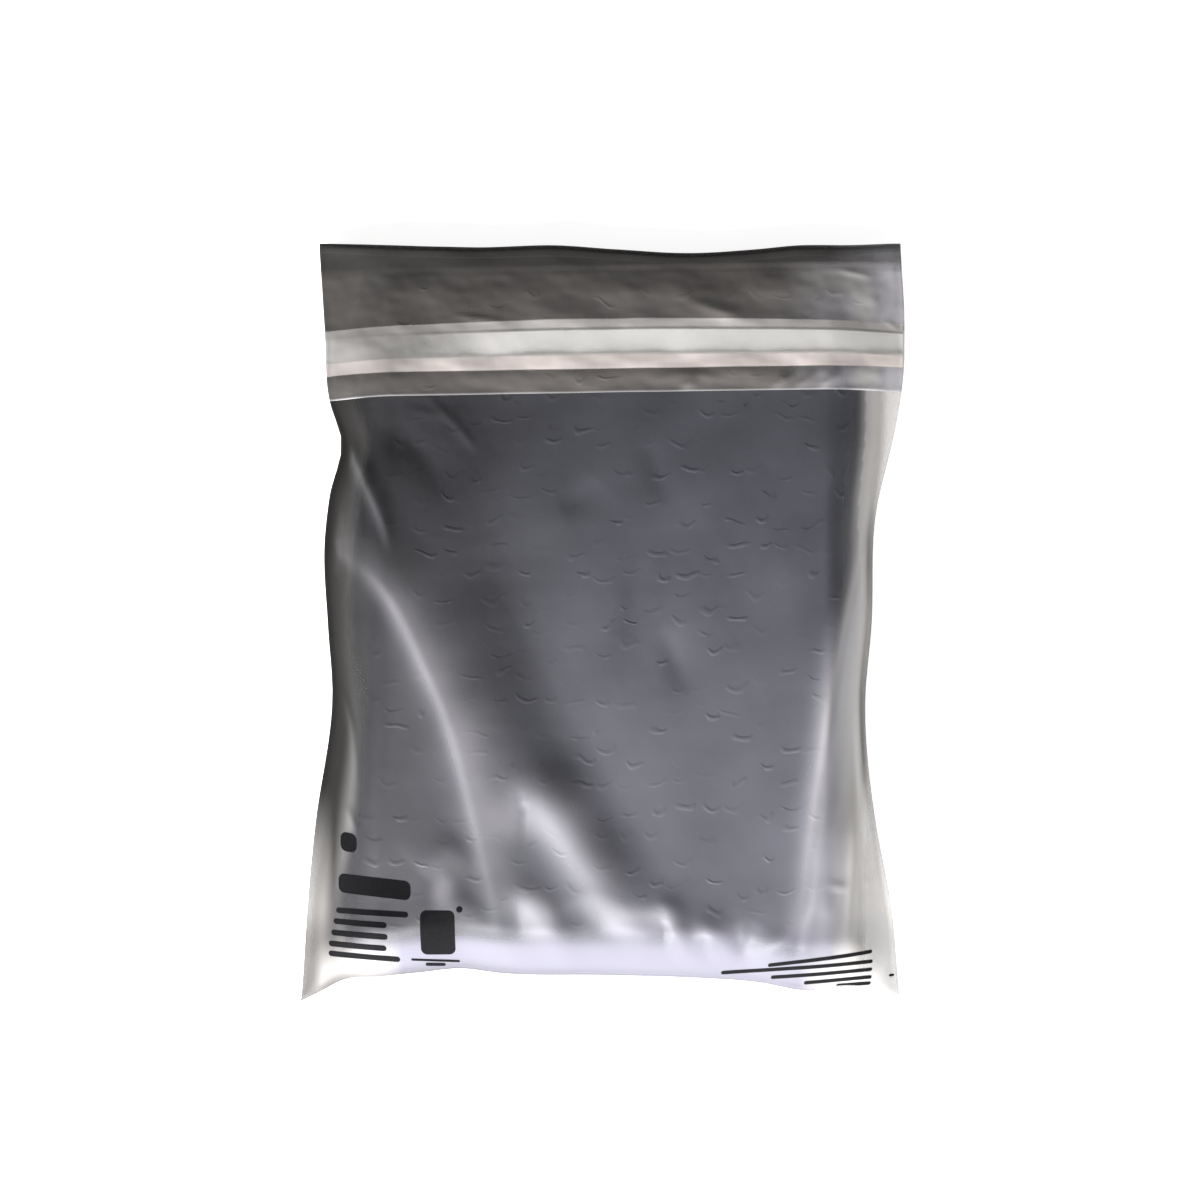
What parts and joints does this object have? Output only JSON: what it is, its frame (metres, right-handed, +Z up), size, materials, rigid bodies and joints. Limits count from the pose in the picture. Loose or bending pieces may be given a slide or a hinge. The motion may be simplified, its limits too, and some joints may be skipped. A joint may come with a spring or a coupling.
{
  "type": "poly mailer bag",
  "caption": "Filled mailing bag of frosted translucent film, lying on its back, with its flap folded over the front on a strip of adhesive that still has its release liner.",
  "frame": {"origin": "on the surface that the bag lies on, under the middle of its back panel", "axes": "+Y along the bag from its bottom fold to the flap fold, +Z up from the back panel to the front, +X to the right of someone who looks down on the front with the flap away from them"},
  "size_m": [0.2586, 0.3256, 0.046],
  "materials": {
    "film": "frosted translucent film",
    "goods": "dark goods in clear small-bubble wrap",
    "adhesive": "milky pressure-sensitive hot melt",
    "liner": "white siliconised release liner",
    "ink": "matt black printing ink on the film"
  },
  "bodies": {
    "root": {"film_bag": "film", "wrapped_goods": "goods", "adhesive_strip": "adhesive", "release_liner": "liner"}
  },
  "joints": []
}
